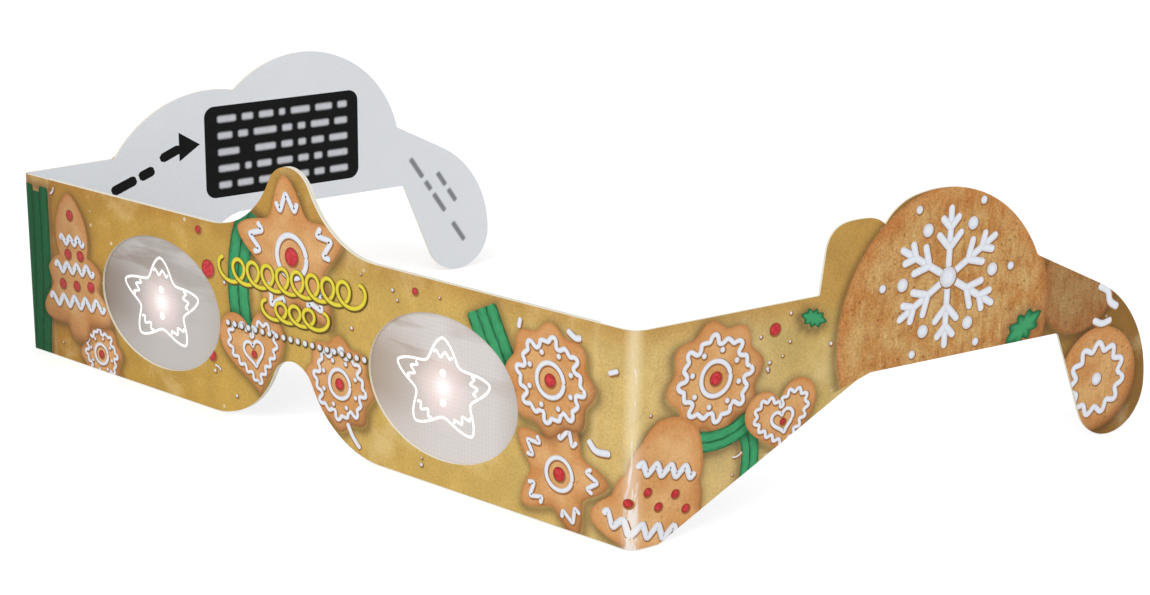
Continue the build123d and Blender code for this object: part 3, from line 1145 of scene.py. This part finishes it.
def print_card(panels):
    """Lays all the print: the shadows on the dough, then each panel's things from the lowest up, and
    its free piping over them."""
    layers = {part: [] for part in stocks}
    everything = [thing for things, plain, bold in panels for thing in things]
    for things, plain, bold in panels:
        for rank, thing in enumerate(things):
            grid = ribbon_halo(thing["path"], thing["width"]) if thing["kind"] == "ribbon" else halo(
                thing["kind"], *thing["at"], thing["size"], thing["turn"])
            value = shadow_value(grid - fallen(grid), everything)
            layers["shadows"].append((grid, ground_lift + lift_step * rank, {"shade": value}))
    for things, plain, bold in panels:
        laid = []
        for rank, thing in enumerate(things):
            line, level = free_level(thing, laid)
            laid.append((line, lay_thing(layers, thing, level, things[rank + 1:])))
        level = pipe(layers, plain, max(top for line, top in laid))
        for jobs in bold:
            level = pipe(layers, jobs, level, "dark_shade", climbing=True)
    for part, patches in layers.items():
        if patches:
            lay_print(part, patches, stocks[part])


def biscuit(kind, along, height, size, turn=0.0, **more):
    """A thing to print: its cutter, the place of its middle, its size and its turn."""
    return {"kind": kind, "at": (along, height), "size": size, "turn": turn, **more}


def ribbon(path, width, strands):
    """A ribbon to print: the path of its middle, its width and how many strands it has."""
    return {"kind": "ribbon", "path": path, "width": width, "strands": strands}


def over(place, thing):
    """True where a place lies within a thing's own reach."""
    if thing["kind"] == "ribbon":
        middle = smooth_path(thing["path"], 20)
        return np.hypot(*(middle - place).T).min() < thing["width"] / 2 + meeting_gap
    return np.hypot(*(place - np.array(thing["at"]))) < thing["size"] + meeting_gap


def near_cut(place, least=0.9):
    """True where a place lies close to a cut edge."""
    return nearest_on(place[None, :], cut_starts, cut_runs)[1][0] < least


crumb_sizes = (0.14, 0.34)
round_share = 0.75


def sprinkle(seed, low, high, many, things):
    """Sugar crumbs scattered evenly, by a seeded roll, over the bare dough of a stretch of the blank:
    most are round, some are short curved dabs."""
    roll = np.random.default_rng(seed)
    made = []
    rolls = zip(roll.uniform(low, high, (many, 2)), roll.uniform(0, np.pi, many),
                roll.uniform(0, 1, many), roll.uniform(*crumb_sizes, many))
    for place, heading, long, size in rolls:
        if any(over(place, thing) for thing in things) or near_cut(place):
            continue
        if long < round_share:
            made.append(("white_icing", place, size))
            continue
        t = np.linspace(-1, 1, 24)[:, None]
        ahead, side = polar(0.0, 0.0, 1.0, heading), polar(0.0, 0.0, 1.0, heading + np.pi / 2)
        made.append(("white_icing", place + long * (t * ahead + 0.3 * t ** 2 * side), 1.7 * size))
    return made


def dotted(start, end, gap, size, tint="white_icing"):
    """A row of drops from start to end."""
    start, ahead, *ways = legs(start, end)
    many = int(np.hypot(*ahead) / gap) + 1
    return [(tint, start + ahead * share, size) for share in np.linspace(0, 1, many)]


def on_arm(side, places):
    """Flat places on a temple, given as measured back from the corner that it folds from, and up."""
    places = np.array(places, float)
    along = side * (arc_end[side] + places[..., 0] - crease_reach[side])
    return np.stack([along, places[..., 1]], -1)


def on_temple(side, things):
    """Things whose places are measured back from a temple's corner, moved to the blank."""
    return [{**thing, **{key: on_arm(side, thing[key]) for key in ("at", "path") if key in thing}}
            for thing in things]


# The front's print: a star under the peak with two rows of piped loops and a row of dots across it,
# biscuits and green ribbons round the windows, and sugar crumbs on the bare dough.

front_things = [
    ribbon([(-71.0, 32.8), (-71.2, 16), (-72.6, -2.0)], 6.8, 3),
    ribbon([(-9.5, 38.5), (-12.6, 31), (-13.4, 22), (-11.5, 12.5)], 5.0, 2),
    ribbon([(43.9, 31.9), (45.8, 28.2), (48.6, 23.0)], 6.4, 3),
    biscuit("flower", -53.2, 3.2, 6.4, 10),
    biscuit("tree", -60.2, 18.0, 13.4, 4),
    biscuit("heart", -9.8, 12.6, 8.0, 12),
    biscuit("flower", 11.6, 12.0, 8.4, 0),
    biscuit("star", 0.4, 31.8, 13.6, 6),
    biscuit("star", 60.4, 8.6, 9.8, -14),
    biscuit("flower", 58.4, 23.2, 9.2, 0),
    biscuit("bell", 79.6, 8.2, 12.0, -14),
]
front_bold = [[("gold_icing", loops((-17.0, 26.6), (16.8, 28.0), 2.1, 3.75), 0.74)],
              [("gold_icing", loops((-6.0, 21.5), (8.0, 22.0), 1.6, 3.5), 0.70)],
              dotted((-16.4, 17.0), (17.8, 17.6), 1.75, 0.52)]
front_piping = [("candy_drops", [(along, height)], size) for along, height, size in (
    (-21.5, 25.7, 1.6), (-21.0, 10.0, 1.0), (-23.8, 32.3, 0.7), (29.6, 31.6, 0.6))]
front_piping += [("white_icing", smooth_path(path, 30), width) for path, width in (
    ([(61.8, 31.9), (63.4, 31.0), (64.6, 31.2)], 1.0), ([(52.3, 31.9), (51.9, 30.2)], 0.8),
    ([(13.4, 5.6), (14.6, 3.6), (16.4, 1.8)], 0.9), ([(66.2, 15.6), (67.8, 14.2), (70.6, 14.4)], 1.1),
    ([(70.0, 26.9), (71.9, 27.7)], 0.8))]
front_piping += sprinkle(3, (-66, 1), (71, 33), 110, front_things)

# The right temple's print: a flower, a heart and ribbons by the crease, one large coarse biscuit with a
# piped snowflake over the temple's round, and two smaller ones toward the ear hook.

right_things = on_temple(1, [
    biscuit("flower", 15.4, 24.6, 9.2, 8),
    ribbon([(20.6, 17.0), (22.4, 12), (21.6, 4.0)], 3.0, 2),
    ribbon([(5.6, 18.2), (11, 15.2), (18, 15.0), (24.6, 18.4)], 3.0, 2),
    biscuit("heart", 28.6, 15.4, 6.6, 10),
    biscuit("leaf", 34.0, 31.2, 2.8, 70),
    biscuit("round", 91.6, 28.6, 9.0, dressing="plain", dark=0.42, coarse=1.0),
    biscuit("round", 61.4, 26.3, 22.9, dressing="snowflake", coarse=1.0),
    biscuit("round", 97.4, 10.6, 9.4, dressing="ring", coarse=0.5),
    biscuit("leaf", 79.0, 22.8, 4.6, 120),
])
hook_strokes = [([(96.2, 27.4), (98.4, 26.2), (99.2, 24.2), (101.2, 22.9)], 50, 1.3),
                ([(95.4, 21.4), (97.6, 20.5), (99.9, 20.9)], 40, 1.2)]
right_piping = [("candy_drops", on_arm(1, (26.4, 30.6)), 1.0)]
right_piping += [("white_icing", smooth_path(on_arm(1, path), count), width)
                 for path, count, width in hook_strokes]
right_piping += sprinkle(8, *on_arm(1, [(3, 8), (40, 33)]), 70, front_things + right_things)


# The left temple's outer print, which faces away from the camera: more of the same biscuits.

left_things = on_temple(-1, [
    ribbon([(20.0, 32.5), (21.5, 20), (19, 8)], 5.0, 3),
    biscuit("star", 12.0, 21.5, 10.5, 8),
    biscuit("tree", 31.0, 25.5, 12.5, -6),
    biscuit("leaf", 9.0, 6.0, 3.4, 60),
    biscuit("round", 61.5, 26.2, 20.5, dressing="snowflake", coarse=1.0),
    biscuit("round", 96.0, 12.0, 9.0, dressing="ring", coarse=0.5),
    biscuit("heart", 89.0, 28.5, 7.5, -14),
])
left_piping = sprinkle(5, *on_arm(-1, [(44, 3), (4, 33)]), 60, left_things)
print_card([(front_things, front_piping, front_bold), (right_things, right_piping, []),
            (left_things, left_piping, [])])


# The print inside the left temple: a black panel with rows of pale bars, an arrow that points to it and
# grey bars down the ear hook, in plain black ink on the bare board.

inside_lift = -board_thickness - 0.006
inside_step = -0.003
panel_box = (38.3, 74.0, 23.8, 42.4)
panel_corner = 2.2


def ink(name, dark, pale, under=None):
    """Flat ink, a little uneven, that bleeds at its edge into the colour under it."""
    def paint(tree):
        tone = noise(kept_place(tree), 800.0).mix(dark, pale)
        if under:
            tone = kept_value(tree, "edge").step(0.35, 1.0, 0.0, 0.9).mix(tone, under)
        return varnished(tone, 0.6, 0.1)
    return material(paint, name)


def rounded_panel(near, far, low, high, corner):
    """A flat panel with round corners: its half height follows a quarter circle at both ends."""
    across = np.concatenate([near + corner * (1 - np.cos(np.linspace(0, np.pi / 2, 10))),
                             far - corner * (1 - np.cos(np.linspace(np.pi / 2, 0, 10)))])
    end = np.minimum(np.minimum(across - near, far - across), corner)
    half = (high - low) / 2 - corner + np.sqrt(corner ** 2 - (corner - end) ** 2)
    up = np.linspace(-1, 1, 7)
    grid = np.stack(np.broadcast_arrays(across[:, None], (high + low) / 2 + half[:, None] * up), -1)
    return grid


def bar_rows(seed, first, heading, row_step, rows, length, gap, height):
    """Rows of short bars: each row is cut by seeded gaps into bars of uneven length."""
    roll = np.random.default_rng(seed)
    run = np.array([np.cos(np.radians(heading)), np.sin(np.radians(heading))])
    down = np.array([run[1], -run[0]]) * row_step
    made = []
    for row in range(rows):
        many = int(length / 5)
        cuts = (np.arange(1, many + 1) + roll.uniform(-0.3, 0.3, many)) / (many + 1) * length
        starts, ends = np.concatenate([[0], cuts + gap / 2]), np.concatenate([cuts - gap / 2, [length]])
        for start, end in zip(starts, ends):
            if end - start > height:
                line = np.array(first) + row * down + np.linspace(start, end, 24)[:, None] * run
                grid, across, gone = band(line, height, 9)
                end_share = 1 - np.minimum(gone, gone.max() - gone) / (height / 2)
                made.append((grid, {"edge": np.maximum(np.abs(across), end_share)}))
    return made


black_ink = ink("black_ink", colour(8, 9, 8), colour(18, 19, 18))
pale_ink = ink("pale_ink", colour(214, 216, 220), colour(190, 192, 198), colour(30, 31, 30))
grey_ink = ink("grey_ink", colour(126, 128, 134), colour(140, 142, 148), colour(222, 225, 229))
panel_bars = bar_rows(21, (41.0, 39.7), 0.0, 3.35, 5, 30.6, 0.9, 1.8)
hook_bars = bar_rows(4, (86.9, 26.2), -55.0, 3.4, 1, 24.6, 0.8, 1.5) + bar_rows(
    6, (93.8, 22.3), -55.0, 3.4, 1, 8.7, 0.8, 1.5)
lead_bars = [grid for grid, edge in bar_rows(9, (17.8, 28.0), 20.0, 3.0, 1, 9.8, 0.7, 2.0)]
arrow_stem = band(np.linspace((28.4, 33.2), (33.0, 35.0), 8), 1.9, 5)[0]
arrow_length = np.linspace(0.0, 4.6, 9)
arrow_head = np.stack(np.broadcast_arrays(
    32.6 + arrow_length[:, None], 35.2 + (2.9 - 0.63 * arrow_length)[:, None] * np.linspace(-1, 1, 5)), -1)

inside_prints = {
    "inner_panel": ([(grid, {}) for grid in [rounded_panel(*panel_box, panel_corner), arrow_stem, arrow_head]
                     + lead_bars], black_ink, 0),
    "inner_panel_bars": (panel_bars, pale_ink, 1),
    "inner_hook_bars": (hook_bars, grey_ink, 0),
}
for print_name, (grids, stock, step) in inside_prints.items():
    patches = [(on_arm(-1, grid), inside_lift + (step + rank / len(grids)) * inside_step, kept)
               for rank, (grid, kept) in enumerate(grids)]
    lay_print(print_name, patches, stock, inward=True)


# The lens figures: on each film the white outline of a star with its piping and a few bright drops, in
# the plane of the film.

figure_size = 8.6
figure_stretch = np.array([1.22, 0.95])
figure_line = 0.46
figure_lift = -board_thickness + 0.012


@material
def lens_figure_white(tree):
    """Bright white line, with a faint painted glow."""
    tone = noise(kept_place(tree), 700.0).mix(colour(250, 246, 242), colour(255, 253, 250))
    return node(tree, "BsdfPrincipled", {"Base Color": tone, "Roughness": 0.5, "Emission Strength": 0.3,
                                         "Emission Color": (1.0, 0.97, 0.95, 1)})


def lens_figure(side):
    """A star's rim, short waves across its points and drops up its middle, stretched a little wide."""
    middle = np.array([side * window_middle[0], window_middle[1]])
    lines = [rim_line("star", 0.0, 0.0, 1.0, 0.0, 200)] + cuffs(5, 0.68, 0.20, 0.06, 2)
    grids = [band(middle + line * figure_size * figure_stretch, figure_line, 3)[0] for line in lines]
    grids += [drop(*(middle + place * figure_stretch), size)[0]
              for place, size in (((0, 2.6), 0.7), ((0, 0), 0.9), ((0, -2.6), 0.7))]
    patches = [(grid, figure_lift + lift_step * rank, {}) for rank, grid in enumerate(grids)]
    lay_print(side_names[side] + "_lens_figure", patches, lens_figure_white, whole=True)


lens_figure(-1)
lens_figure(1)
